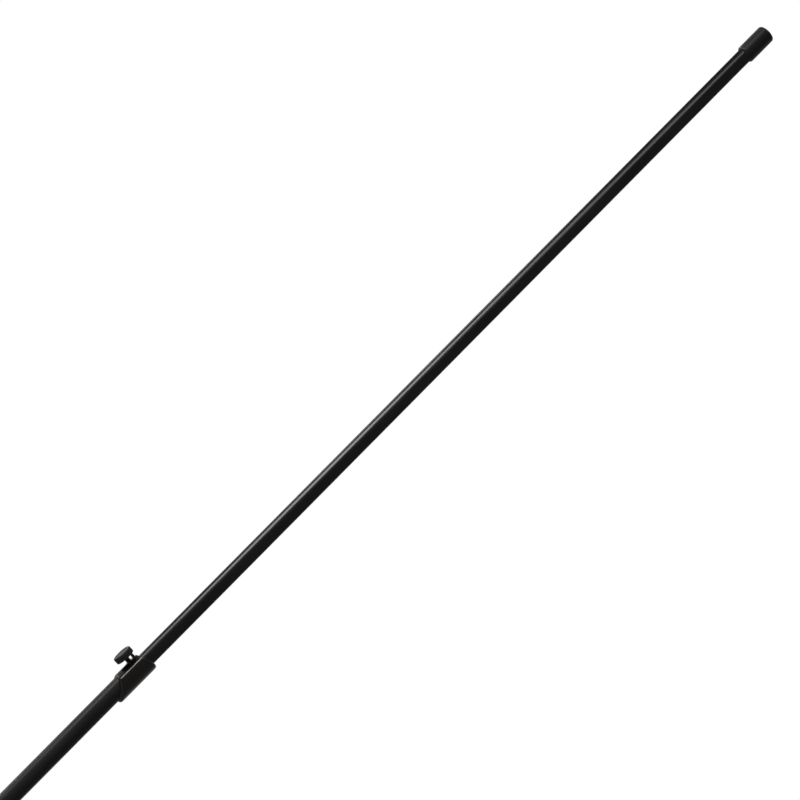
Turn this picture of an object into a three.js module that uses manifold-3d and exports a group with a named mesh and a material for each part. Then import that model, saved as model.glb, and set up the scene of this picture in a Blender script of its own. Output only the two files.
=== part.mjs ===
// Telescopic bank stick: a ground spike and lower tube, a moulded collar with a thumb screw that
// clamps the sliding upper tube, and a head with a threaded insert for a rod rest.
// Millimetres, +Z up along the stick. The origin is the spike's tip. The thumb screw points to -X.
import * as THREE from 'three';
import { mergeVertices } from 'three/addons/utils/BufferGeometryUtils.js';
import Module from 'manifold-3d';

const wasm = await Module();
wasm.setup();

// Tubes
const upperTubeOuter = 8;
const upperTubeWall = 1;
const lowerTubeOuter = 9.5;
const lowerTubeWall = 0.7;
const upperTubeShown = 905.8;

// Clearances
const fitGap = 0.3;
const runGap = 0.25;
const cutOverrun = 1;

// Ground spike
const spikeConeLength = 66;
const spikeConeRadius = 7.6;
const spikeTipRadius = 1.2;
const spikeFlangeHeight = 7;
const spikeFlangeEdge = 1;
const spikeShankLength = 30;
const spikeShankChamfer = 1.5;

// Clamp collar, with heights counted from the screw's axis
const screwHeight = 1080;
const collarWall = 2.95;
const collarKnobSideBelow = 19.6;
const collarKnobSideAbove = 9.7;
const collarFarSideBelow = 35.8;
const collarFarSideAbove = 17;
const collarEdgeRound = 3;
const collarScrewFlatWall = 1.2;
const collarSideFlatWall = 0.9;
const collarFlatAngle = THREE.MathUtils.degToRad(23.5);
const socketEndBelowScrew = 6.8;
const guideLeadIn = 0.8;

// Screw boss, with heights counted from the stick's axis
const bossHeight = 11.1;
const bossHubRadius = 4.5;
const bossDraft = 0.4;
const postRadius = 1.5;
const postHubRadius = 2.3;
const postOffset = 6.6;

// Thumb screw
const studRadius = 2.8;
const insertWall = 0.5;
const insertLength = 2.3;
const insertRecess = 0.2;
const padRadius = 2.5;
const padThickness = 0.8;
const padSpigotRadius = 0.9;
const padSpigotHeight = 0.9;
const knobRadius = 10.45;
const knobHeight = 6.9;
const knobUnderside = 16.15;
const knobEdge = 1.1;
const knobFaceRound = 1.8;
const knobDishDepth = 0.6;
const knobRimWidth = 2.6;
const knobFlutes = 36;
const knobFluteDepth = 0.45;
const knobSocketDepth = 4;

// Upper section's tail
const tailInset = 20;
const bushOverlap = 0.3;
const bushLength = 30;
const bushBoreGap = 0.3;
const bushEdge = 0.8;
const plugNeckRadius = 5.4;
const plugSpigotLength = 18;
const plugHeadHeight = 4;
const plugEdge = 0.8;

// Top head and its threaded insert
const headRadius = 9.85;
const headLength = 35;
const headEndRound = 2.6;
const headShoulderStep = 1.5;
const headShoulderRise = 2.4;
const headSocketFloor = 1;
const threadBoreRadius = 4.25;
const threadBoreDepth = 15;
const threadBoreChamfer = 0.5;
const threadInsertWall = 1.65;
const threadFlangeRadius = 6.6;
const threadFlangeHeight = 1.4;
const threadInsertBottom = 2;

// Facets
const tubeSegments = 48;
const smallSegments = 24;
const arcSteps = 4;
const stepsPerFlute = 4;

function finish(color, roughness, metalness) {
  return new THREE.MeshStandardMaterial({ color, roughness, metalness });
}

const blackTube = () => finish(0x18181a, 0.4, 0.7);
const blackMoulding = () => finish(0x161514, 0.5, 0);
const blackSteel = () => finish(0x2c2c2e, 0.35, 1);
const bareSteel = () => finish(0x9a9c9e, 0.35, 1);
const brass = () => finish(0xb08d4a, 0.35, 1);
const nylon = () => finish(0xdcd8cc, 0.55, 0);

// Merges a geometry's shared vertices, drops faces of no area and turns its faces out.
function closedBody(geometry) {
  geometry.deleteAttribute('normal');
  geometry.deleteAttribute('uv');
  const merged = mergeVertices(geometry);
  const position = merged.attributes.position;
  const corner = [new THREE.Vector3(), new THREE.Vector3(), new THREE.Vector3()];
  const kept = [];
  let volume = 0;
  for (let i = 0; i < merged.index.count; i += 3) {
    const face = [merged.index.getX(i), merged.index.getX(i + 1), merged.index.getX(i + 2)];
    if (new Set(face).size < face.length) continue;
    face.forEach((vertex, k) => corner[k].fromBufferAttribute(position, vertex));
    volume += corner[0].dot(corner[1].cross(corner[2]));
    kept.push(face);
  }
  const faces = volume > 0 ? kept : kept.map((face) => [...face].reverse());
  merged.setIndex(faces.flat());
  return merged;
}

// A geometry as a solid that can be joined and cut.
function solid(geometry) {
  const body = closedBody(geometry);
  return new wasm.Manifold(new wasm.Mesh({
    numProp: 3,
    vertProperties: Float32Array.from(body.attributes.position.array),
    triVerts: Uint32Array.from(body.index.array),
  }));
}

function geometryOf(manifold) {
  const mesh = manifold.getMesh();
  const geometry = new THREE.BufferGeometry();
  geometry.setAttribute('position', new THREE.BufferAttribute(Float32Array.from(mesh.vertProperties), 3));
  geometry.setIndex(Array.from(mesh.triVerts));
  return geometry;
}

// Points of an arc in a profile, its angles in degrees from the radial direction. A rise that differs
// from the radius stretches it along Z into an ellipse.
function arc(r, z, radius, from, to, rise = radius) {
  return Array.from({ length: arcSteps + 1 }, (_, i) => {
    const angle = THREE.MathUtils.degToRad(from + ((to - from) * i) / arcSteps);
    return [r + radius * Math.cos(angle), z + rise * Math.sin(angle)];
  });
}

// A body turned about +Z from [radius, height] points that start and end on the axis.
function turned(profile, segments = tubeSegments) {
  const points = profile.map(([r, z]) => new THREE.Vector2(r, z));
  return new THREE.LatheGeometry(points, segments).rotateX(Math.PI / 2);
}

// A turned body with a hole through it: its profile closes on itself.
const ring = (profile) => turned([...profile, profile[0]]);
const pipe = (inner, outer, from, to) => ring([[inner, from], [outer, from], [outer, to], [inner, to]]);

function rod(radius, from, to, segments = smallSegments) {
  return turned([[0, from], [radius, from], [radius, to], [0, to]], segments);
}

function part(name, geometry, material) {
  const mesh = new THREE.Mesh(closedBody(geometry), material);
  mesh.name = name;
  return mesh;
}

// Places along the stick
const lowerTubeBore = lowerTubeOuter - lowerTubeWall;
const upperTubeBore = upperTubeOuter - upperTubeWall;
const guideBore = upperTubeOuter + runGap;
const bushOuter = guideBore + bushOverlap;
const lowerTubeFoot = spikeConeLength + spikeFlangeHeight + fitGap;
const tubeSocket = lowerTubeOuter + fitGap;
const collarRadius = tubeSocket + collarWall;
const socketEnd = screwHeight - socketEndBelowScrew;
const lowerTubeTop = socketEnd - fitGap;
const collarTop = screwHeight + collarFarSideAbove;
const headFoot = collarTop + upperTubeShown;
const headSocketDepth = headLength - threadBoreDepth - threadInsertBottom - headSocketFloor;
const bushTop = socketEnd - tailInset;
const upperTubeFoot = bushTop + fitGap;
const upperTubeTop = headFoot + headSocketDepth - fitGap;

// The point is a cone with a round tip. Its shank plugs the lower tube.
function groundSpike() {
  const shank = lowerTubeBore - fitGap;
  const coneLean = Math.atan2(spikeConeRadius - spikeTipRadius, spikeConeLength - spikeTipRadius);
  const flangeTop = spikeConeLength + spikeFlangeHeight;
  const shankTop = flangeTop + spikeShankLength;
  return turned([
    [0, 0],
    ...arc(0, spikeTipRadius, spikeTipRadius, -90, -THREE.MathUtils.radToDeg(coneLean)).slice(1),
    [spikeConeRadius, spikeConeLength],
    [lowerTubeOuter - spikeFlangeEdge, spikeConeLength],
    [lowerTubeOuter, spikeConeLength + spikeFlangeEdge],
    [lowerTubeOuter, flangeTop],
    [shank, flangeTop],
    [shank, shankTop - spikeShankChamfer],
    [shank - spikeShankChamfer, shankTop],
    [0, shankTop],
  ]);
}

// The collar's outside is a turned blank with round ends. Each end is slanted: a point moves along Z
// with the cosine of its angle from +X, so the side away from the screw is the longer one.
function collarBlank() {
  const bottom = -(collarKnobSideBelow + collarFarSideBelow) / 2;
  const top = (collarKnobSideAbove + collarFarSideAbove) / 2;
  const bottomSlant = (collarKnobSideBelow - collarFarSideBelow) / 2;
  const topSlant = (collarFarSideAbove - collarKnobSideAbove) / 2;
  const shoulder = collarRadius - collarEdgeRound;
  const blank = turned([
    [0, bottom],
    ...arc(shoulder, bottom + collarEdgeRound, collarEdgeRound, -90, 0),
    ...arc(shoulder, top - collarEdgeRound, collarEdgeRound, 0, 90),
    [0, top],
  ]);
  const position = blank.attributes.position;
  for (let i = 0; i < position.count; i++) {
    const radius = Math.hypot(position.getX(i), position.getY(i));
    const cosine = radius > 0 ? position.getX(i) / radius : 0;
    const slant = position.getZ(i) < 0 ? bottomSlant : topSlant;
    position.setZ(i, position.getZ(i) + slant * cosine);
  }
  return blank.translate(0, 0, screwHeight);
}

// A block whose inner face is a flat with that wall over the tube, turned by an angle from the screw.
function flatCutter(wall, angle) {
  const length = 2 * (collarFarSideBelow + collarFarSideAbove);
  const block = new THREE.BoxGeometry(collarRadius, 2 * collarRadius, length);
  return block
    .translate(-tubeSocket - wall - collarRadius / 2, 0, screwHeight)
    .rotateZ(angle);
}

// The boss is the hull of two rounds: one about the screw, a smaller one about the post above it.
// It is drawn with X up the stick, and its sides lean in by the draft.
function bossOutline(inset) {
  const hub = bossHubRadius - inset;
  const post = postHubRadius - inset;
  const lean = Math.acos((hub - post) / postOffset);
  const shape = new THREE.Shape();
  shape.absarc(0, 0, hub, lean, 2 * Math.PI - lean, false);
  shape.absarc(postOffset, 0, post, -lean, lean, false);
  shape.closePath();
  return shape;
}

function screwBoss() {
  return new THREE.ExtrudeGeometry(bossOutline(bossDraft), {
    depth: bossHeight - guideBore - 2 * bossDraft,
    bevelEnabled: true,
    bevelThickness: bossDraft,
    bevelSize: bossDraft,
    bevelSegments: 1,
    curveSegments: smallSegments / 2,
  }).translate(0, 0, guideBore + bossDraft);
}

// Turns a body drawn about +Z at the origin to the thumb screw's axis.
const ontoScrewAxis = (geometry) => geometry.rotateY(-Math.PI / 2).translate(0, 0, screwHeight);

function clampCollar() {
  const insertHole = studRadius + fitGap + insertWall + fitGap;
  const below = screwHeight - collarFarSideBelow - cutOverrun;
  const above = collarTop + cutOverrun;
  const post = rod(postRadius, bossHeight - bossDraft, knobUnderside - fitGap, smallSegments / 2);
  const bore = turned([
    [0, below],
    [tubeSocket, below],
    [tubeSocket, socketEnd],
    [guideBore + guideLeadIn, socketEnd],
    [guideBore, socketEnd + guideLeadIn],
    [guideBore, above],
    [0, above],
  ]);
  return geometryOf(
    solid(collarBlank())
      .subtract(solid(flatCutter(collarScrewFlatWall, 0)))
      .subtract(solid(flatCutter(collarSideFlatWall, collarFlatAngle)))
      .subtract(solid(flatCutter(collarSideFlatWall, -collarFlatAngle)))
      .add(solid(ontoScrewAxis(screwBoss())))
      .add(solid(ontoScrewAxis(post.translate(postOffset, 0, 0))))
      .subtract(solid(bore))
      .subtract(solid(ontoScrewAxis(rod(insertHole, 0, bossHeight + cutOverrun)))),
  );
}

// A round head with a shallow dish and a socket for the stud, turned from its underside up. Then its
// rim is fluted: two steps of each flute's four sink by the flute's depth.
function knobHead() {
  const socket = studRadius + fitGap;
  const dish = knobRadius - knobRimWidth;
  const disc = turned([
    [0, knobSocketDepth],
    [socket, knobSocketDepth],
    [socket, 0],
    ...arc(knobRadius - knobEdge, knobEdge, knobEdge, -90, 0),
    ...arc(knobRadius - knobFaceRound, knobHeight - knobFaceRound, knobFaceRound, 0, 90),
    [dish, knobHeight],
    [dish - knobDishDepth, knobHeight - knobDishDepth],
    [0, knobHeight - knobDishDepth],
  ], knobFlutes * stepsPerFlute);
  const step = (2 * Math.PI) / (knobFlutes * stepsPerFlute);
  const position = disc.attributes.position;
  for (let i = 0; i < position.count; i++) {
    const [x, y] = [position.getX(i), position.getY(i)];
    const radius = Math.hypot(x, y);
    const place = Math.round(Math.atan2(y, x) / step + knobFlutes * stepsPerFlute) % stepsPerFlute;
    const sunk = radius > dish + fitGap && place >= stepsPerFlute / 2;
    const scale = sunk ? 1 - knobFluteDepth / radius : 1;
    position.setXY(i, x * scale, y * scale);
  }
  return disc;
}

// Everything about the screw's axis, with +Z pointing out along it from the stick's axis.
function thumbScrew() {
  const insertBore = studRadius + fitGap;
  const insertTop = bossHeight - insertRecess;
  const padFoot = upperTubeOuter + fitGap;
  const padTop = padFoot + padThickness;
  const studTip = padTop + fitGap;
  const studTop = knobUnderside + knobSocketDepth - fitGap;
  const insert = pipe(insertBore, insertBore + insertWall, insertTop - insertLength, insertTop);
  const pad = turned([
    [0, padFoot],
    [padRadius, padFoot],
    [padRadius, padTop],
    [padSpigotRadius, padTop],
    [padSpigotRadius, padTop + padSpigotHeight],
    [0, padTop + padSpigotHeight],
  ], smallSegments);
  const hole = padTop + padSpigotHeight + fitGap;
  const stud = turned([
    [0, hole],
    [padSpigotRadius + fitGap, hole],
    [padSpigotRadius + fitGap, studTip],
    [studRadius, studTip],
    [studRadius, studTop],
    [0, studTop],
  ], smallSegments);
  const group = new THREE.Group();
  group.position.z = screwHeight;
  group.rotation.y = -Math.PI / 2;
  group.add(
    part('clamp_insert', insert, brass()),
    part('pressure_pad', pad, nylon()),
    part('clamp_stud', stud, blackSteel()),
    part('knob_head', knobHead().translate(0, 0, knobUnderside), blackMoulding()),
  );
  return group;
}

// The plug closes the upper tube's foot. The bush runs on its neck, between the tube and its head.
function tail() {
  const spigot = upperTubeBore - fitGap;
  const neckFoot = bushTop - bushLength - fitGap;
  const headBottom = neckFoot - plugHeadHeight;
  const plugTop = upperTubeFoot + plugSpigotLength;
  const plug = turned([
    [0, headBottom],
    [upperTubeOuter - plugEdge, headBottom],
    [upperTubeOuter, headBottom + plugEdge],
    [upperTubeOuter, neckFoot],
    [plugNeckRadius, neckFoot],
    [plugNeckRadius, upperTubeFoot],
    [spigot, upperTubeFoot],
    [spigot, plugTop - plugEdge],
    [spigot - plugEdge, plugTop],
    [0, plugTop],
  ]);
  const bore = plugNeckRadius + bushBoreGap;
  const bushFoot = bushTop - bushLength;
  const bush = ring([
    [bore, bushFoot],
    [bushOuter - bushEdge, bushFoot],
    [bushOuter, bushFoot + bushEdge],
    [bushOuter, bushTop],
    [bore, bushTop],
  ]);
  return [part('tail_plug', plug, blackMoulding()), part('tail_bush', bush, nylon())];
}

// The head slips over the tube and holds a flanged insert, whose flange is flush with its end.
function head() {
  const socket = upperTubeOuter + fitGap;
  const barrel = threadBoreRadius + threadInsertWall;
  const seat = threadFlangeRadius + fitGap;
  const flangeFoot = headLength - threadFlangeHeight;
  const sleeve = ring([
    [socket, 0],
    ...arc(headRadius - headShoulderStep, headShoulderRise, headShoulderStep, -90, 0, headShoulderRise),
    ...arc(headRadius - headEndRound, headLength - headEndRound, headEndRound, 0, 90),
    [seat, headLength],
    [seat, flangeFoot - fitGap],
    [barrel + fitGap, flangeFoot - fitGap],
    [barrel + fitGap, headSocketDepth],
    [socket, headSocketDepth],
  ]);
  const boreFoot = headLength - threadBoreDepth;
  const insert = turned([
    [0, boreFoot - threadInsertBottom],
    [barrel, boreFoot - threadInsertBottom],
    [barrel, flangeFoot],
    [threadFlangeRadius, flangeFoot],
    [threadFlangeRadius, headLength],
    [threadBoreRadius + threadBoreChamfer, headLength],
    [threadBoreRadius, headLength - threadBoreChamfer],
    [threadBoreRadius, boreFoot],
    [0, boreFoot],
  ]);
  const group = new THREE.Group();
  group.position.z = headFoot;
  group.add(part('top_head', sleeve, blackMoulding()), part('thread_insert', insert, brass()));
  return group;
}

const bankStick = new THREE.Group();
bankStick.add(
  part('ground_spike', groundSpike(), bareSteel()),
  part('lower_tube', pipe(lowerTubeBore, lowerTubeOuter, lowerTubeFoot, lowerTubeTop), blackTube()),
  part('clamp_collar', clampCollar(), blackMoulding()),
  thumbScrew(),
  ...tail(),
  part('upper_tube', pipe(upperTubeBore, upperTubeOuter, upperTubeFoot, upperTubeTop), blackTube()),
  head(),
);

export default bankStick;
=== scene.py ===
import math

import bmesh
import bpy
import numpy as np
from mathutils import Matrix, Vector

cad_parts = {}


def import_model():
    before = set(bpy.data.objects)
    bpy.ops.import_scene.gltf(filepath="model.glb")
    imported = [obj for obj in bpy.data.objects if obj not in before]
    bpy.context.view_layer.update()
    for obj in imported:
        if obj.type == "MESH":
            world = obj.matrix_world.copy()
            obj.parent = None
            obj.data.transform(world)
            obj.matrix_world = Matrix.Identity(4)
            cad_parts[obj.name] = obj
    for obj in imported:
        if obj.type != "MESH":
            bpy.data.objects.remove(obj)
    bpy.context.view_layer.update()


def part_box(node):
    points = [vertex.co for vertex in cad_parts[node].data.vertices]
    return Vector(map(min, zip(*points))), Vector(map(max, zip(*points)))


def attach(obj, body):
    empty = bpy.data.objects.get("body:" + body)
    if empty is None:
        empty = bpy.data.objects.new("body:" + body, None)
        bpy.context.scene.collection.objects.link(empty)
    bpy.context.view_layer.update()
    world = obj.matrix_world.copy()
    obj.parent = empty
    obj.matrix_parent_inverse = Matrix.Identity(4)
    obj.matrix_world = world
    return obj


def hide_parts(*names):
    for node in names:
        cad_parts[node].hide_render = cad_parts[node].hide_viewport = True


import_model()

MM = 0.001
TURN = 2 * math.pi

# Places along the stick, from the frame
GROUND_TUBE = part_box("lower_tube")
SLIDING_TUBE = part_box("upper_tube")
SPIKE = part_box("ground_spike")
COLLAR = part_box("clamp_collar")
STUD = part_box("clamp_stud")
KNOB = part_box("knob_head")
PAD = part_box("pressure_pad")
COLLAR_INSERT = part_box("clamp_insert")
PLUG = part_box("tail_plug")
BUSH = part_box("tail_bush")
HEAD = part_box("top_head")
HEAD_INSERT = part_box("thread_insert")
SCREW_HEIGHT = (STUD[0].z + STUD[1].z) / 2

# Gaps: inside, between two pressed pieces, and round the screw where it leaves the collar
FIT_GAP = 0.3 * MM
SCREW_GAP = 0.05 * MM

# Where a moulding meets its tube, its mouth is tight over this depth, and its lip tapers to the tube.
MOUTH_GAP = 0.02 * MM
MOUTH_DEPTH = 2 * MM
LIP_TAPER = 0.6 * MM

# Tubes
GROUND_TUBE_WALL = 0.7 * MM
SLIDING_TUBE_WALL = 1.0 * MM
TUBE_END_BREAK = 0.2 * MM

# Ground spike
SPIKE_TIP_RADIUS = 1.2 * MM
SPIKE_TIP_ROUND = 0.9 * SPIKE_TIP_RADIUS
SPIKE_CONE_RADIUS = 7.6 * MM
SPIKE_NECK_ROUND = 0.4 * MM
SPIKE_FLANGE_HEIGHT = 7 * MM
SPIKE_FLANGE_ROUND = 1 * MM
SPIKE_SEAT_ROUND = 0.3 * MM
SPIKE_SHANK_RADIUS = 8.5 * MM
SPIKE_SHANK_ROUND = 1.5 * MM
SPIKE_ROW = 4 * MM

# Clamp collar, with heights counted from the screw's axis. Each side has its lower and its upper end. The
# quarter circles of its ends' rounds start at an angle, in radians.
COLLAR_RADIUS = COLLAR[1].x
COLLAR_KNOB_SIDE = (-19.6 * MM, 9.7 * MM)
COLLAR_FAR_SIDE = (-35.8 * MM, 17 * MM)
COLLAR_END_ROUND = 3 * MM
COLLAR_ROUND_START = 0.25
COLLAR_SCREW_FLAT = 11 * MM
COLLAR_SIDE_FLAT = 10.85 * MM
COLLAR_FLAT_ANGLE = math.radians(23.5)
COLLAR_FLAT_BLEND = 0.4 * MM
COLLAR_RIDGE_BLEND = 1.8 * MM
COLLAR_EDGE_BLEND = 0.4 * MM
COLLAR_SOCKET = 9.8 * MM
COLLAR_GUIDE = 8.25 * MM
COLLAR_SOCKET_END = -6.8 * MM
COLLAR_LEAD_IN = 0.8 * MM

# Screw boss and post, with heights counted from the stick's axis
BOSS_FOOT = 9 * MM
BOSS_TOP = 11.1 * MM
BOSS_EDGE = 0.4 * MM
BOSS_HUB = 4.5 * MM
POST_HUB = 2.3 * MM
POST_OFFSET = 6.6 * MM
POST_RADIUS = 1.5 * MM
POST_FOOT_RADIUS = 1.1 * POST_RADIUS
POST_TOP = 15.85 * MM
POST_EDGE = 0.35 * MM

# Brass insert in the boss, its hole, and how far the cut for the hole runs past it at each end
INSERT_WALL = 0.5 * MM
INSERT_BORE_EDGE = 0.2 * MM
INSERT_EDGE = 0.1 * MM
INSERT_HOLE = 3.9 * MM
HOLE_OVERRUN_INSIDE = 2 * MM
HOLE_OVERRUN_OUTSIDE = 1 * MM

# Thumb screw's stud: M6 coarse thread, with a hole in its tip for the pad's pin
STUD_RADIUS = STUD[1].y
STUD_PITCH = 1.0 * MM
STUD_THREAD_DEPTH = 0.45 * MM
STUD_THREADED_SHARE = 0.97
STUD_TIP_EDGE = 0.35 * MM
STUD_END_EDGE = 0.2 * MM
PIN_HOLE = 1.2 * MM
PIN_HOLE_DEPTH = 0.9 * MM
PIN_HOLE_EDGE = 0.1 * MM

# Thumb screw's head
KNOB_RADIUS = KNOB[1].y
KNOB_FLUTES = 36
KNOB_FLUTE_DEPTH = 0.45 * MM
KNOB_FLUTE_POWER = 0.7
KNOB_FLUTE_START = 0.5 * MM
KNOB_FLUTE_RUN_IN = 1.2 * MM
KNOB_DISH_DEPTH = 0.6 * MM
KNOB_DISH_EDGE = 0.25 * MM
KNOB_DISH_ROUND = 0.4 * MM
KNOB_RIM_WIDTH = 2.6 * MM
KNOB_FACE_ROUND = 1.8 * MM
KNOB_EDGE = 1.1 * MM
KNOB_SOCKET = 3.1 * MM
KNOB_SOCKET_DEPTH = 4 * MM
KNOB_SOCKET_EDGE = 0.2 * MM
KNOB_ROW = 0.5 * MM

# Pad on the screw's tip
PAD_THICKNESS = 0.8 * MM
PAD_FACE_ROUND = 0.3 * MM
PAD_EDGE = 0.1 * MM
PAD_PIN = 0.9 * MM
PAD_PIN_ROUND = 0.2 * MM

# Tail plug, and the bush round its neck
PLUG_HEAD_HEIGHT = 4 * MM
PLUG_NECK = 5.4 * MM
PLUG_ROUND = 0.8 * MM
PLUG_SEAT_EDGE = 0.2 * MM
BUSH_BORE = 5.7 * MM
BUSH_BORE_EDGE = 0.2 * MM
BUSH_FOOT_ROUND = 0.8 * MM
BUSH_TOP_ROUND = 0.3 * MM

# Head, whose shoulder starts at an angle, in radians, and the flange and barrel of its insert
HEAD_SHOULDER_STEP = 1.5 * MM
HEAD_SHOULDER_RISE = 2.4 * MM
HEAD_SHOULDER_START = 0.25
HEAD_END_ROUND = 2.6 * MM
HEAD_SEAT_EDGE = 0.15 * MM
HEAD_FLANGE = 6.6 * MM
HEAD_FLANGE_HEIGHT = 1.4 * MM
HEAD_FLANGE_EDGE = 0.2 * MM
HEAD_FLANGE_FOOT_EDGE = 0.1 * MM
HEAD_BARREL = 5.9 * MM
HEAD_BARREL_ROUND = 0.3 * MM

# The 3/8 in BSF thread in the head's insert, 20 to the inch
BSF_PITCH = 1.27 * MM
BSF_DEPTH = 0.5 * MM
BSF_BORE = 4.25 * MM
BSF_BORE_DEPTH = 15 * MM
BSF_CHAMFER_DEPTH = 0.6 * MM
BSF_CHAMFER_RIM = 0.1 * MM
BSF_THREAD_FOOT = 1 * MM
BSF_THREAD_TOP = 0.3 * MM
BSF_BORE_TOLERANCE = 0.01 * MM

# Facets
ARC_STEPS = 8
TUBE_SIDES = 192
SPIKE_SIDES = 192
SMALL_SIDES = 96
HOLE_SIDES = 64
POST_SIDES = 48
COLLAR_SIDES = 480
COLLAR_ROWS = 26
HUB_POINTS = 49
POST_HUB_POINTS = 25
BOSS_EDGE_STEPS = 6
THREAD_ROWS = 10
FLUTE_SIDES = 10
MERGE_DISTANCE = 0.0005 * MM
SHARP_ANGLE = math.radians(28)

# Noise mostly stays between these two values.
NOISE_RANGE = (0.3, 0.7)


def rounded(corners, closed=False):
    """An outline from (radius, height, rounding) corners. Each corner becomes an arc that touches both
    its sides: it starts and ends at rounding / tan(half the angle between the sides) from the corner."""
    outline = []
    for i, (r, z, rounding) in enumerate(corners):
        corner = np.array([r, z])
        if rounding == 0 or (not closed and i in (0, len(corners) - 1)):
            outline.append(corner)
            continue
        before = np.array(corners[i - 1][:2]) - corner
        after = np.array(corners[(i + 1) % len(corners)][:2]) - corner
        before = before / np.linalg.norm(before)
        after = after / np.linalg.norm(after)
        half = math.acos(np.clip(before @ after, -1, 1)) / 2
        middle = (before + after) / np.linalg.norm(before + after)
        centre = corner + middle * rounding / math.sin(half)
        start = corner + before * rounding / math.tan(half) - centre
        end = corner + after * rounding / math.tan(half) - centre
        sweep = math.atan2(start[0] * end[1] - start[1] * end[0], start @ end)
        turns = np.linspace(0, sweep, ARC_STEPS + 1)
        side = np.array([-start[1], start[0]])
        outline.extend(centre + np.outer(np.cos(turns), start) + np.outer(np.sin(turns), side))
    return np.array(outline)


def divided(outline, step):
    """The same outline with points added, so that no stretch is longer than the step."""
    lengths = np.linalg.norm(np.diff(outline, axis=0), axis=1)
    counts = np.maximum(1, np.ceil(lengths / step)).astype(int)
    first = np.repeat(np.arange(len(lengths)), counts)
    share = np.concatenate([np.arange(c) / c for c in counts])[:, None]
    inner = outline[first] * (1 - share) + outline[first + 1] * share
    return np.vstack([inner, outline[-1]])


def turned(outline, sides=TUBE_SIDES, relief=None):
    """A grid of points: the outline turned about +Z. relief(radius, height, angle) is added to the radius."""
    angle = np.arange(sides) * TURN / sides
    radius, angle = np.meshgrid(outline[:, 0], angle, indexing="ij")
    height = np.repeat(outline[:, 1:], sides, axis=1)
    if relief is not None:
        radius = radius + relief(radius, height, angle)
    return np.stack([radius * np.cos(angle), radius * np.sin(angle), height], axis=-1)


def onto_screw(points):
    """Turns points drawn about +Z to the thumb screw's axis, which points to -X."""
    return np.stack([-points[..., 2], points[..., 1], points[..., 0] + SCREW_HEIGHT], axis=-1)


def mesh_of(name, points, closed=False):
    """An object over a grid of points. Each row of points is a loop, joined to the next row, and the last
    row to the first if closed. A row that lies in one point is a pole, where its corners merge."""
    rows, columns = points.shape[:2]
    last = rows if closed else rows - 1
    row, column = np.meshgrid(np.arange(last), np.arange(columns), indexing="ij")
    next_row = (row + 1) % rows
    next_column = (column + 1) % columns
    corners = [(row, column), (row, next_column), (next_row, next_column), (next_row, column)]
    faces = np.stack([r * columns + c for r, c in corners], axis=-1).reshape(-1, 4)
    mesh = bpy.data.meshes.new(name)
    mesh.from_pydata(points.reshape(-1, 3).tolist(), [], faces.tolist())
    shape = bmesh.new()
    shape.from_mesh(mesh)
    bmesh.ops.remove_doubles(shape, verts=shape.verts, dist=MERGE_DISTANCE)
    bmesh.ops.recalc_face_normals(shape, faces=shape.faces)
    shape.to_mesh(mesh)
    shape.free()
    mesh.update()
    thing = bpy.data.objects.new(name, mesh)
    bpy.context.scene.collection.objects.link(thing)
    return thing


def smooth(thing):
    """Smooth shading, with an edge where two faces meet at more than the sharp angle."""
    mesh = thing.data
    mesh.shade_smooth()
    mesh.set_sharp_from_angle(angle=SHARP_ANGLE)


def combine(thing, other, operation):
    """Joins or cuts a closed object by another one, which is used up."""
    modifier = thing.modifiers.new(operation, "BOOLEAN")
    modifier.operation = operation
    modifier.object = other
    modifier.solver = "EXACT"
    bpy.context.view_layer.update()
    result = thing.evaluated_get(bpy.context.evaluated_depsgraph_get())
    thing.data = bpy.data.meshes.new_from_object(result)
    thing.modifiers.clear()
    bpy.data.objects.remove(other)


def place(thing, body, node, material):
    """Gives a finished piece smooth shading and its material, hangs it on its body's empty and hides the part
    of the frame that it stands for.
    """
    smooth(thing)
    thing.data.materials.clear()
    thing.data.materials.append(material)
    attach(thing, body)
    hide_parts(node)
    return thing


def linear(code):
    """An sRGB hex colour as linear red, green, blue and alpha."""
    values = [int(code[i : i + 2], 16) / 255 for i in (1, 3, 5)]
    return [v / 12.92 if v <= 0.04045 else ((v + 0.055) / 1.055) ** 2.4 for v in values] + [1.0]


def add(tree, kind, inputs=(), **settings):
    """Adds a node, sets its properties, and gives its inputs a value or another node's output."""
    node = tree.nodes.new(kind)
    for name, value in settings.items():
        setattr(node, name, value)
    for name, value in dict(inputs).items():
        if isinstance(value, bpy.types.NodeSocket):
            tree.links.new(value, node.inputs[name])
        else:
            node.inputs[name].default_value = value
    return node


def new_material(name, **sockets):
    """A material with one Principled shader. Returns the material, its tree and the shader."""
    material = bpy.data.materials.new(name)
    material.use_nodes = True
    tree = material.node_tree
    shader = tree.nodes["Principled BSDF"]
    for socket, value in sockets.items():
        shader.inputs[socket.replace("_", " ")].default_value = value
    return material, tree, shader


def finish_surface(tree, shader, tone, colours, sheen, gloss, grain, depth):
    """Gives a shader its colour, roughness and relief. The tone pattern goes from the first colour to the
    second, the sheen pattern from the first roughness to the second, each over the range that noise has,
    and the grain pattern lifts the surface by up to the depth."""
    colour = add(tree, "ShaderNodeValToRGB", {"Fac": tone})
    for stop, value, code in zip(colour.color_ramp.elements, NOISE_RANGE, colours):
        stop.position = value
        stop.color = linear(code)
    ends = {"From Min": NOISE_RANGE[0], "From Max": NOISE_RANGE[1], "To Min": gloss[0], "To Max": gloss[1]}
    rough = add(tree, "ShaderNodeMapRange", {"Value": sheen, **ends})
    relief = add(tree, "ShaderNodeBump", {"Height": grain, "Distance": depth, "Strength": 1.0})
    tree.links.new(colour.outputs["Color"], shader.inputs["Base Color"])
    tree.links.new(rough.outputs["Result"], shader.inputs["Roughness"])
    tree.links.new(relief.outputs["Normal"], shader.inputs["Normal"])


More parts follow.
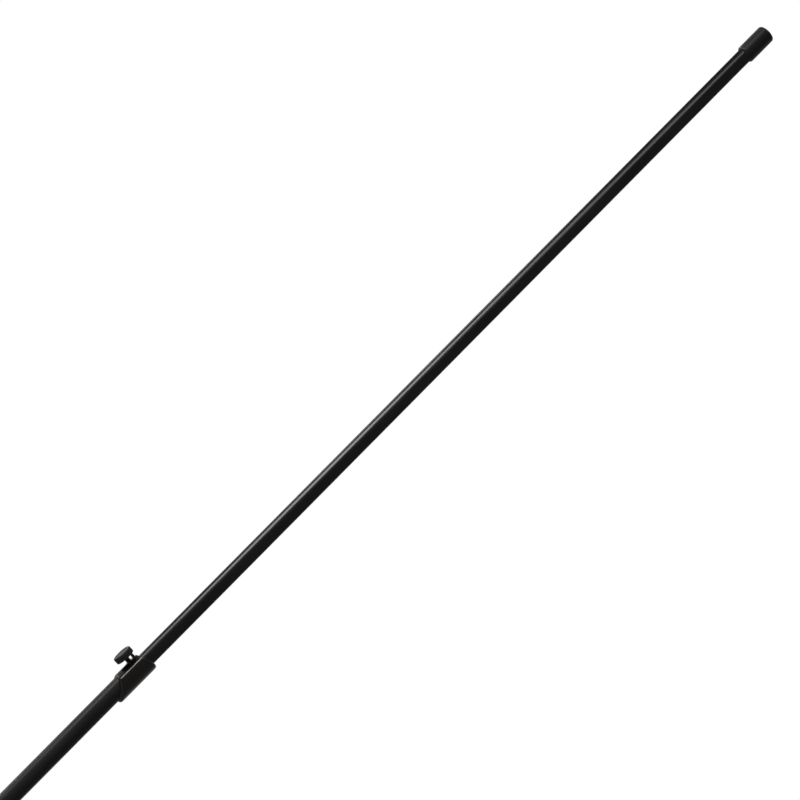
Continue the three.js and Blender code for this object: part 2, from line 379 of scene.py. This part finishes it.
def drawn_anodised_aluminium(name, colours, gloss, metallic, edge_tint):
    """Drawn aluminium tube, black anodised. Under a clear dyed film the metal is a dark mirror, whose film
    keeps the rims dark. A satin film is so thick that it scatters the light itself, and leaves little of
    the metal's mirror. The die leaves fine lines along the tube, and dye and gloss drift along it."""
    # Die lines are about 0.05 mm wide. They are drawn 0.4 mm wide, so that a near view shows them.
    line_width, line_length, line_depth = 0.4 * MM, 120 * MM, 0.0006 * MM
    # The dye drifts over about 10 mm round the tube and 60 mm along it.
    drift_width, drift_length = 10 * MM, 60 * MM
    film_specular = 0.02
    material, tree, shader = new_material(
        name, Metallic=metallic, Specular_Tint=linear(edge_tint), Specular_IOR_Level=film_specular
    )
    spot = add(tree, "ShaderNodeTexCoord").outputs["Object"]
    scale = (1 / line_width, 1 / line_width, 1 / line_length)
    along = add(tree, "ShaderNodeMapping", {"Vector": spot, "Scale": scale}).outputs["Vector"]
    lines = add(tree, "ShaderNodeTexNoise", {"Vector": along, "Scale": 1.0, "Detail": 1.0}).outputs["Fac"]
    scale = (1 / drift_width, 1 / drift_width, 1 / drift_length)
    slow = add(tree, "ShaderNodeMapping", {"Vector": spot, "Scale": scale}).outputs["Vector"]
    drift = add(tree, "ShaderNodeTexNoise", {"Vector": slow, "Scale": 1.0, "Detail": 3.0}).outputs["Fac"]
    finish_surface(tree, shader, drift, colours, drift, gloss, lines, line_depth)
    return material


def moulded_plastic(name, colours, gloss, specular, grit, depth):
    """Injection moulded plastic: the mould's fine spark texture as an even grit, and a soft sheen that
    changes over some millimetres where the melt cooled at another rate."""
    # Spark texture is about 0.1 mm wide. Its grit is drawn 0.3 to 0.4 mm wide, so that a near view shows it.
    cloud_size = 7 * MM
    material, tree, shader = new_material(name, Specular_IOR_Level=specular)
    spot = add(tree, "ShaderNodeTexCoord").outputs["Object"]
    fine = add(tree, "ShaderNodeTexNoise", {"Vector": spot, "Scale": 1 / grit, "Detail": 2.0}).outputs["Fac"]
    cloud = add(tree, "ShaderNodeTexNoise", {"Vector": spot, "Scale": 1 / cloud_size, "Detail": 3.0})
    cloud = cloud.outputs["Fac"]
    finish_surface(tree, shader, cloud, colours, cloud, gloss, fine, depth)
    return material


def turned_metal(name, colours, gloss, feed, axis):
    """Metal turned on a lathe: fine rings across its axis, one for each step of the tool, which catch
    the light as bands, and a slow change of tone where hands and oil have dulled it."""
    ring_length, ring_depth, cloud_size = 60 * MM, 0.004 * MM, 5 * MM
    material, tree, shader = new_material(name, Metallic=1.0)
    spot = add(tree, "ShaderNodeTexCoord").outputs["Object"]
    scale = [1 / ring_length] * 3
    scale[axis] = 1 / feed
    across = add(tree, "ShaderNodeMapping", {"Vector": spot, "Scale": scale}).outputs["Vector"]
    rings = add(tree, "ShaderNodeTexNoise", {"Vector": across, "Scale": 1.0, "Detail": 1.0}).outputs["Fac"]
    cloud = add(tree, "ShaderNodeTexNoise", {"Vector": spot, "Scale": 1 / cloud_size, "Detail": 3.0})
    finish_surface(tree, shader, cloud.outputs["Fac"], colours, rings, gloss, rings, ring_depth)
    return material


# Among white surroundings a usual specular level of 0.5 would turn the black pieces' rims grey, so theirs
# is far lower.
UPPER_ALUMINIUM = drawn_anodised_aluminium(
    "black_anodised_drawn_aluminium", ("#141414", "#181818"), (0.25, 0.3), 1.0, "#bebebe"
)
LOWER_ALUMINIUM = drawn_anodised_aluminium(
    "satin_black_anodised_drawn_aluminium", ("#121212", "#151515"), (0.25, 0.3), 0.035, "#c4c4c4"
)
COLLAR_NYLON = moulded_plastic(
    "glossy_moulded_black_nylon", ("#070504", "#0a0807"), (0.13, 0.18), 0.075, 0.35 * MM, 0.001 * MM
)
HEAD_ABS = moulded_plastic(
    "satin_moulded_black_abs", ("#090909", "#0d0d0d"), (0.34, 0.4), 0.04, 0.3 * MM, 0.002 * MM
)
KNOB_NYLON = moulded_plastic(
    "moulded_black_nylon", ("#111111", "#161615"), (0.4, 0.46), 0.04, 0.3 * MM, 0.002 * MM
)
BLACK_ZINC = turned_metal("black_zinc_plated_steel", ("#2a2a2c", "#353538"), (0.3, 0.42), 0.12 * MM, 0)
BARE_STEEL = turned_metal("turned_bright_steel", ("#8c8e90", "#a4a6a8"), (0.24, 0.38), 0.25 * MM, 2)
BRASS = turned_metal("turned_brass", ("#b08d4a", "#c39f58"), (0.22, 0.34), 0.15 * MM, 2)
NATURAL_NYLON = moulded_plastic(
    "natural_nylon", ("#d3cebf", "#dfdbcd"), (0.45, 0.55), 0.5, 0.4 * MM, 0.006 * MM
)


def tube(name, box, wall, body, node, material):
    """A drawn tube with its cut ends broken by a small round."""
    outer = box[1].x
    inner = outer - wall
    low, high = box[0].z, box[1].z
    ends = [(inner, low), (outer, low), (outer, high), (inner, high)]
    outline = rounded([(r, z, TUBE_END_BREAK) for r, z in ends], closed=True)
    return place(mesh_of(name, turned(outline), closed=True), body, node, material)


def spike():
    """A cone with a round tip, a flange that the tube seats on, and a shank inside the tube."""
    flange_foot = GROUND_TUBE[0].z - FIT_GAP - SPIKE_FLANGE_HEIGHT
    flange_top = flange_foot + SPIKE_FLANGE_HEIGHT
    radius = SPIKE[1].x
    corners = [
        (0, 0, 0),
        (SPIKE_TIP_RADIUS, 0, SPIKE_TIP_ROUND),
        (SPIKE_CONE_RADIUS, flange_foot, SPIKE_NECK_ROUND),
        (radius, flange_foot, SPIKE_FLANGE_ROUND),
        (radius, flange_top, SPIKE_SEAT_ROUND),
        (SPIKE_SHANK_RADIUS, flange_top, 0),
        (SPIKE_SHANK_RADIUS, SPIKE[1].z, SPIKE_SHANK_ROUND),
        (0, SPIKE[1].z, 0),
    ]
    thing = mesh_of("turned_spike", turned(divided(rounded(corners), SPIKE_ROW), SPIKE_SIDES))
    return place(thing, "lower_section", "ground_spike", BARE_STEEL)


def soft_minimum(a, b, blend):
    """The smaller of two arrays. Where they differ by less than the blend, (blend - difference)^2 over
    4 blends is taken off, which rounds the ridge between them."""
    return np.minimum(a, b) - np.clip(blend - np.abs(a - b), 0, None) ** 2 / (4 * blend)


def collar_reach(angle):
    """Distance from the axis to the collar's outside: the nearest of three flats, or the round. A flat
    turned by an angle lies at its distance over the cosine of the angle between."""
    beyond, least_cosine = 10 * COLLAR_RADIUS, 0.1
    flats = np.full_like(angle, beyond)
    for turn, distance in (
        (0, COLLAR_SCREW_FLAT),
        (COLLAR_FLAT_ANGLE, COLLAR_SIDE_FLAT),
        (-COLLAR_FLAT_ANGLE, COLLAR_SIDE_FLAT),
    ):
        facing = np.maximum(np.cos(angle - math.pi - turn), least_cosine)
        flats = soft_minimum(flats, distance / facing, COLLAR_FLAT_BLEND)
    return soft_minimum(np.full_like(angle, COLLAR_RADIUS), flats, COLLAR_RIDGE_BLEND)


def collar_body():
    """The collar without its boss. At each angle its outline goes from the lower lip up the outside, over
    the top end and down the two bores. Both ends move along Z with the cosine of the angle, so they are
    slanted. Each end's round is a quarter circle on the full round, and the flats cut it as they cut the
    outside. The lower one starts a little way up its quarter, where the lip's taper meets it."""
    angle = np.arange(COLLAR_SIDES) * TURN / COLLAR_SIDES
    swing = np.cos(angle)
    far_bottom, far_top = COLLAR_FAR_SIDE
    knob_bottom, knob_top = COLLAR_KNOB_SIDE
    bottom = (far_bottom + knob_bottom) / 2 + (far_bottom - knob_bottom) / 2 * swing
    top = (far_top + knob_top) / 2 + (far_top - knob_top) / 2 * swing
    low, high = bottom + COLLAR_END_ROUND, top - COLLAR_END_ROUND
    reach = collar_reach(angle)
    mouth = GROUND_TUBE[1].x + MOUTH_GAP
    shoulder = COLLAR_RADIUS - COLLAR_END_ROUND
    quarter = np.linspace(COLLAR_ROUND_START, math.pi / 2, 2 * ARC_STEPS + 1)
    end_rows = [
        (soft_minimum(reach, shoulder + COLLAR_END_ROUND * math.sin(q), COLLAR_EDGE_BLEND),
         COLLAR_END_ROUND * (1 - math.cos(q)))
        for q in quarter
    ]
    rows = [(COLLAR_SOCKET, bottom + MOUTH_DEPTH), (mouth, bottom + MOUTH_DEPTH), (mouth, bottom - LIP_TAPER)]
    rows += [(radius, bottom + rise) for radius, rise in end_rows]
    rows += [(reach, low * (1 - share) + high * share) for share in np.linspace(0, 1, COLLAR_ROWS)[1:-1]]
    rows += [(radius, top - drop) for radius, drop in end_rows[::-1]]
    rows += [
        (COLLAR_GUIDE, top),
        (COLLAR_GUIDE, COLLAR_SOCKET_END + COLLAR_LEAD_IN),
        (COLLAR_GUIDE + COLLAR_LEAD_IN, COLLAR_SOCKET_END),
        (COLLAR_SOCKET, COLLAR_SOCKET_END),
    ]
    radius = np.array([np.broadcast_to(r, angle.shape) for r, _ in rows])
    height = np.array([np.broadcast_to(z, angle.shape) for _, z in rows]) + SCREW_HEIGHT
    points = np.stack([radius * np.cos(angle), radius * np.sin(angle), height], axis=-1)
    return mesh_of("collar_moulding", points, closed=True)


def boss_outline(inset):
    """The line round the screw's hub and the smaller post's hub: two arcs joined by their tangents."""
    hub, post = BOSS_HUB - inset, POST_HUB - inset
    lean = math.acos((BOSS_HUB - POST_HUB) / POST_OFFSET)
    round_hub = np.linspace(lean, TURN - lean, HUB_POINTS)
    round_post = np.linspace(-lean, lean, POST_HUB_POINTS)
    line = [np.stack([hub * np.cos(round_hub), hub * np.sin(round_hub)], axis=-1)]
    line.append(np.stack([POST_OFFSET + post * np.cos(round_post), post * np.sin(round_post)], axis=-1))
    return np.vstack(line)


def screw_boss():
    """The boss outline carried up the screw's axis, its top edge rounded by insets of a quarter circle.
    Each end is closed by a fan about a point between the two hubs."""
    turns = np.linspace(0, math.pi / 2, BOSS_EDGE_STEPS + 1)
    insets = [0.0] + [BOSS_EDGE * (1 - math.cos(t)) for t in turns]
    heights = [BOSS_FOOT] + [BOSS_TOP - BOSS_EDGE * (1 - math.sin(t)) for t in turns]
    count = HUB_POINTS + POST_HUB_POINTS
    loops = [np.column_stack([boss_outline(i), np.full(count, h)]) for i, h in zip(insets, heights)]
    middle = np.array([POST_OFFSET / 3, 0, 0])
    foot = np.tile(middle + [0, 0, BOSS_FOOT], (count, 1))
    head = np.tile(middle + [0, 0, BOSS_TOP], (count, 1))
    return mesh_of("boss", onto_screw(np.array([foot, *loops, head])))


def stop_post():
    """A thin moulded post beside the screw, with a rounded end."""
    foot = BOSS_TOP - BOSS_EDGE
    corners = [
        (0, foot, 0),
        (POST_FOOT_RADIUS, foot, 0),
        (POST_RADIUS, POST_TOP, POST_EDGE),
        (0, POST_TOP, 0),
    ]
    points = turned(rounded(corners), POST_SIDES)
    points[..., 0] += POST_OFFSET
    return mesh_of("post", onto_screw(points))


def insert_hole():
    """The hole for the insert. Past the insert's outer end it narrows to the stud, which leaves a lip of
    the moulding over the brass."""
    foot, top = BOSS_FOOT - HOLE_OVERRUN_INSIDE, BOSS_TOP + HOLE_OVERRUN_OUTSIDE
    lip_foot = -COLLAR_INSERT[0].x + MOUTH_GAP
    lip = STUD_RADIUS + SCREW_GAP
    corners = [(0, foot), (INSERT_HOLE, foot), (INSERT_HOLE, lip_foot), (lip, lip_foot), (lip, top), (0, top)]
    return mesh_of("hole", onto_screw(turned(np.array(corners), HOLE_SIDES)))


def collar():
    """The collar's moulding: its body, the boss and the post joined, and the insert's hole cut."""
    body = collar_body()
    combine(body, screw_boss(), "UNION")
    combine(body, stop_post(), "UNION")
    combine(body, insert_hole(), "DIFFERENCE")
    return place(body, "lower_section", "clamp_collar", COLLAR_NYLON)


def thread(pitch, depth, low, high):
    """A relief for a screw thread: a triangle wave that climbs one pitch a turn, between two heights."""
    def relief(radius, height, angle):
        wave = np.abs(((height / pitch - angle / TURN) % 1) * 2 - 1)
        fade = np.clip(np.minimum(height - low, high - height) / pitch, 0, 1)
        return -depth * wave * fade
    return relief


def threaded_stud():
    """The clamp screw's stud: a rod with a thread, a hole in its tip for the pad and a chamfered end. The
    thread is cut near the rod's full radius alone, and not in the hole."""
    tip, end = -STUD[1].x, -STUD[0].x
    hole_end = tip + PIN_HOLE_DEPTH
    corners = [
        (0, hole_end, 0),
        (PIN_HOLE, hole_end, 0),
        (PIN_HOLE, tip, PIN_HOLE_EDGE),
        (STUD_RADIUS, tip, STUD_TIP_EDGE),
        (STUD_RADIUS, end, STUD_END_EDGE),
        (0, end, 0),
    ]
    outline = divided(rounded(corners), STUD_PITCH / THREAD_ROWS)
    cut = thread(STUD_PITCH, STUD_THREAD_DEPTH, tip, end)

    def relief(radius, height, angle):
        return np.where(radius > STUD_RADIUS * STUD_THREADED_SHARE, cut(radius, height, angle), 0)

    points = onto_screw(turned(outline, SMALL_SIDES, relief))
    return place(mesh_of("threaded_stud", points), "thumb_screw", "clamp_stud", BLACK_ZINC)


def fluted_knob():
    """The screw's head: a disc with a shallow dish, whose rim sinks by a cosine wave for each flute. The
    wave is raised to a power that widens the hollows, and it grows by a smooth step outside the dish."""
    low, high = -KNOB[1].x, -KNOB[0].x
    dish = KNOB_RADIUS - KNOB_RIM_WIDTH
    corners = [
        (0, low + KNOB_SOCKET_DEPTH, 0),
        (KNOB_SOCKET, low + KNOB_SOCKET_DEPTH, 0),
        (KNOB_SOCKET, low, KNOB_SOCKET_EDGE),
        (KNOB_RADIUS, low, KNOB_EDGE),
        (KNOB_RADIUS, high, KNOB_FACE_ROUND),
        (dish, high, KNOB_DISH_EDGE),
        (dish - KNOB_DISH_DEPTH, high - KNOB_DISH_DEPTH, KNOB_DISH_ROUND),
        (0, high - KNOB_DISH_DEPTH, 0),
    ]
    outline = divided(rounded(corners), KNOB_ROW)

    def relief(radius, height, angle):
        wave = (1 + np.cos(KNOB_FLUTES * angle + math.pi)) / 2
        rim = np.clip((radius - dish - KNOB_FLUTE_START) / KNOB_FLUTE_RUN_IN, 0, 1)
        return -KNOB_FLUTE_DEPTH * wave**KNOB_FLUTE_POWER * rim * rim * (3 - 2 * rim)

    points = onto_screw(turned(outline, KNOB_FLUTES * FLUTE_SIDES, relief))
    return place(mesh_of("knob_moulding", points), "thumb_screw", "knob_head", KNOB_NYLON)


def screw_insert():
    """The brass insert that the stud screws into, with a chamfer at each end of its bore."""
    low, high = -COLLAR_INSERT[1].x, -COLLAR_INSERT[0].x
    outer, inner = COLLAR_INSERT[1].y, COLLAR_INSERT[1].y - INSERT_WALL
    corners = [
        (inner, low, INSERT_BORE_EDGE),
        (outer, low, INSERT_EDGE),
        (outer, high, INSERT_EDGE),
        (inner, high, INSERT_BORE_EDGE),
    ]
    thing = mesh_of("brass_screw_insert", onto_screw(turned(rounded(corners, True), SMALL_SIDES)), True)
    return place(thing, "lower_section", "clamp_insert", BRASS)


def nylon_pad():
    """The pad that presses on the tube, with a pin that snaps into the stud's tip."""
    low, high, disc = -PAD[1].x, -PAD[0].x, PAD[1].y
    shoulder = low + PAD_THICKNESS
    corners = [
        (0, low, 0),
        (disc, low, PAD_FACE_ROUND),
        (disc, shoulder, PAD_EDGE),
        (PAD_PIN, shoulder, PAD_EDGE),
        (PAD_PIN, high, PAD_PIN_ROUND),
        (0, high, 0),
    ]
    points = onto_screw(turned(rounded(corners), SMALL_SIDES))
    return place(mesh_of("nylon_pad", points), "pad", "pressure_pad", NATURAL_NYLON)


def tail_plug():
    """The plug in the sliding tube's foot: a head below, a neck for the bush, and a spigot in the tube."""
    low, high, head = PLUG[0].z, PLUG[1].z, PLUG[1].x
    spigot = SLIDING_TUBE[1].x - SLIDING_TUBE_WALL - FIT_GAP
    neck_foot, neck_top = low + PLUG_HEAD_HEIGHT, SLIDING_TUBE[0].z
    corners = [
        (0, low, 0),
        (head, low, PLUG_ROUND),
        (head, neck_foot, PLUG_SEAT_EDGE),
        (PLUG_NECK, neck_foot, 0),
        (PLUG_NECK, neck_top, 0),
        (spigot, neck_top, 0),
        (spigot, high, PLUG_ROUND),
        (0, high, 0),
    ]
    thing = mesh_of("plug_moulding", turned(rounded(corners), SMALL_SIDES))
    return place(thing, "upper_section", "tail_plug", HEAD_ABS)


def tail_bush():
    """The ring that guides the sliding tube's tail in the ground tube."""
    low, high, outer = BUSH[0].z, BUSH[1].z, BUSH[1].x
    corners = [
        (BUSH_BORE, low, BUSH_BORE_EDGE),
        (outer, low, BUSH_FOOT_ROUND),
        (outer, high, BUSH_TOP_ROUND),
        (BUSH_BORE, high, BUSH_BORE_EDGE),
    ]
    thing = mesh_of("nylon_bush", turned(rounded(corners, True)), True)
    return place(thing, "slide_bush", "tail_bush", NATURAL_NYLON)


def head():
    """The head's sleeve: a socket for the tube below, and a stepped seat for the insert above. Its lower
    shoulder is a quarter of an ellipse, which starts where the taper of its lip meets it."""
    low, high, outer = HEAD[0].z, HEAD[1].z, HEAD[1].x
    socket, mouth = SLIDING_TUBE[1].x + FIT_GAP, SLIDING_TUBE[1].x + MOUTH_GAP
    seat, barrel = HEAD_FLANGE + FIT_GAP, HEAD_BARREL + FIT_GAP
    ledge, floor = high - HEAD_FLANGE_HEIGHT - FIT_GAP, SLIDING_TUBE[1].z + FIT_GAP
    turn = np.linspace(HEAD_SHOULDER_START - math.pi / 2, 0, 2 * ARC_STEPS + 1)
    reach = outer - HEAD_SHOULDER_STEP * (1 - np.cos(turn))
    rise = low + HEAD_SHOULDER_RISE * (1 + np.sin(turn))
    corners = [
        (outer, low + HEAD_SHOULDER_RISE, 0),
        (outer, high, HEAD_END_ROUND),
        (seat, high, HEAD_SEAT_EDGE),
        (seat, ledge, 0),
        (barrel, ledge, 0),
        (barrel, floor, 0),
        (socket, floor, 0),
        (socket, low + MOUTH_DEPTH, 0),
        (mouth, low + MOUTH_DEPTH, 0),
    ]
    outline = np.vstack([[(mouth, low - LIP_TAPER)], np.column_stack([reach, rise])[:-1], rounded(corners)])
    thing = mesh_of("head_moulding", turned(outline), True)
    return place(thing, "upper_section", "top_head", HEAD_ABS)


def head_insert():
    """The brass insert with its flange flush with the head's end, and its thread cut in the bore. The
    relief is added where the outline is the bore, and nowhere else."""
    low, high = HEAD_INSERT[0].z, HEAD_INSERT[1].z
    flange_foot, floor = high - HEAD_FLANGE_HEIGHT, high - BSF_BORE_DEPTH
    root = BSF_BORE + BSF_DEPTH
    corners = [
        (0, low, 0),
        (HEAD_BARREL, low, HEAD_BARREL_ROUND),
        (HEAD_BARREL, flange_foot, 0),
        (HEAD_FLANGE, flange_foot, HEAD_FLANGE_FOOT_EDGE),
        (HEAD_FLANGE, high, HEAD_FLANGE_EDGE),
        (root + BSF_CHAMFER_RIM, high, 0),
        (BSF_BORE, high - BSF_CHAMFER_DEPTH, 0),
        (BSF_BORE, floor, 0),
        (0, floor, 0),
    ]
    outline = divided(rounded(corners), BSF_PITCH / THREAD_ROWS)
    cut = thread(BSF_PITCH, BSF_DEPTH, floor + BSF_THREAD_FOOT, high - BSF_THREAD_TOP)

    def relief(radius, height, angle):
        return np.where(np.abs(radius - BSF_BORE) < BSF_BORE_TOLERANCE, -cut(radius, height, angle), 0)

    points = turned(outline, SMALL_SIDES, relief)
    return place(mesh_of("brass_head_insert", points), "upper_section", "thread_insert", BRASS)


tube("ground_tube", GROUND_TUBE, GROUND_TUBE_WALL, "lower_section", "lower_tube", LOWER_ALUMINIUM)
tube("sliding_tube", SLIDING_TUBE, SLIDING_TUBE_WALL, "upper_section", "upper_tube", UPPER_ALUMINIUM)
spike()
collar()
screw_insert()
nylon_pad()
threaded_stud()
fluted_knob()
tail_plug()
tail_bush()
head()
head_insert()

# Camera: a long lens 0.74 m below the ground's level, looking up and rolled by about 45 degrees.
CAMERA_AZIMUTH = math.radians(11)
CAMERA_DISTANCE = 6.78
CAMERA_HEIGHT = -0.737
CAMERA_ROLL = math.radians(44.7252)
CAMERA_REACH = 100
AIM_HEIGHT = 1.4734
AIM_SIDE = -2.4 * MM
FOCAL_LENGTH = 317.84


def camera():
    """The camera's axes: it looks at the aim, then its right and up turn about that line by the roll."""
    right = Vector((math.cos(CAMERA_AZIMUTH), -math.sin(CAMERA_AZIMUTH), 0))
    level = Vector((-math.sin(CAMERA_AZIMUTH), -math.cos(CAMERA_AZIMUTH), 0))
    spot = level * CAMERA_DISTANCE + Vector((0, 0, CAMERA_HEIGHT))
    look = (Vector((0, 0, AIM_HEIGHT)) + right * AIM_SIDE - spot).normalized()
    right = look.cross(Vector((0, 0, 1))).normalized()
    up = right.cross(look)
    across = right * math.cos(CAMERA_ROLL) + up * math.sin(CAMERA_ROLL)
    data = bpy.data.cameras.new("camera")
    data.lens = FOCAL_LENGTH
    data.clip_end = CAMERA_REACH
    eye = bpy.data.objects.new("camera", data)
    bpy.context.scene.collection.objects.link(eye)
    axes = Matrix((across, look.cross(across) * -1, look * -1)).transposed().to_4x4()
    eye.matrix_world = Matrix.Translation(spot) @ axes
    bpy.context.scene.camera = eye


# Floor: a little wider than the stick is tall, just clear of the spike's point
FLOOR_RADIUS = 1.2
FLOOR_THICKNESS = 0.01
FLOOR_GAP = 0.1 * MM


def floor():
    """A round pale floor under the spike."""
    top, bottom = -FLOOR_GAP, -FLOOR_GAP - FLOOR_THICKNESS
    outline = np.array([(0, top), (FLOOR_RADIUS, top), (FLOOR_RADIUS, bottom), (0, bottom)])
    disc = mesh_of("floor", turned(outline, SMALL_SIDES))
    material, _, _ = new_material("pale_floor", Base_Color=linear("#f4f4f4"), Roughness=0.8)
    disc.data.materials.append(material)


SOFT_LIGHT = 0.6


def world():
    """White where the camera, a reflection or a refraction sees it, and a plain soft light elsewhere."""
    sky = bpy.data.worlds.new("studio")
    bpy.context.scene.world = sky
    sky.use_nodes = True
    tree = sky.node_tree
    tree.nodes.clear()
    path = add(tree, "ShaderNodeLightPath")
    seen = path.outputs["Is Camera Ray"]
    for kind in ("Is Glossy Ray", "Is Transmission Ray"):
        either = add(tree, "ShaderNodeMath", {0: seen, 1: path.outputs[kind]}, operation="MAXIMUM")
        seen = either.outputs["Value"]
    soft = add(tree, "ShaderNodeBackground", {"Color": linear("#ffffff"), "Strength": SOFT_LIGHT})
    white = add(tree, "ShaderNodeBackground", {"Color": linear("#ffffff"), "Strength": 1.0})
    mixed = add(tree, "ShaderNodeMixShader", {0: seen, 1: soft.outputs[0], 2: white.outputs[0]})
    add(tree, "ShaderNodeOutputWorld", {"Surface": mixed.outputs[0]})


# Lamps on the screw's side: a short low one, one that stands by the rim, and a long slanted strip in two
# lengths. Each lamp's lower and upper end are given by their bearing from -X towards the camera, in
# degrees, and their height. Its width and its power follow. Each faces the axis a little below itself.
LAMP_DISTANCE = 1.9
LAMP_DROP = 0.6
LAMPS = [
    ((-38, 1.05), (-32, 1.42), 0.4, 20),
    ((-45, 1.8), (-50, 2.4), 0.4, 30),
    ((-3, 1.6), (16, 2.15), 0.65, 96),
    ((13, 2.15), (38, 3.0), 0.75, 40),
]


def lamp_end(bearing, height):
    """One end of a lamp: a point on a circle about the stick's axis."""
    turn = math.radians(180 + bearing)
    return Vector((LAMP_DISTANCE * math.cos(turn), LAMP_DISTANCE * math.sin(turn), height))


def softbox(name, spot, target, size, power, long_side):
    """A rectangular lamp at a spot, facing a target, its long side along a direction."""
    data = bpy.data.lights.new(name, "AREA")
    data.shape = "RECTANGLE"
    data.size, data.size_y = size
    data.energy = power
    lamp = bpy.data.objects.new(name, data)
    bpy.context.scene.collection.objects.link(lamp)
    back = (Vector(spot) - Vector(target)).normalized()
    side = (Vector(long_side) - back * Vector(long_side).dot(back)).normalized()
    axes = Matrix((side, back.cross(side), back)).transposed().to_4x4()
    lamp.matrix_world = Matrix.Translation(spot) @ axes


def lamps():
    """All the lamps, each along the line between its two ends."""
    for number, (foot, top, width, power) in enumerate(LAMPS):
        foot, top = lamp_end(*foot), lamp_end(*top)
        middle = (foot + top) / 2
        target = (0, 0, middle.z - LAMP_DROP)
        softbox(f"side_strip_{number}", middle, target, ((top - foot).length, width), power, top - foot)


camera()
floor()
world()
lamps()
bpy.context.scene.view_settings.view_transform = "Standard"
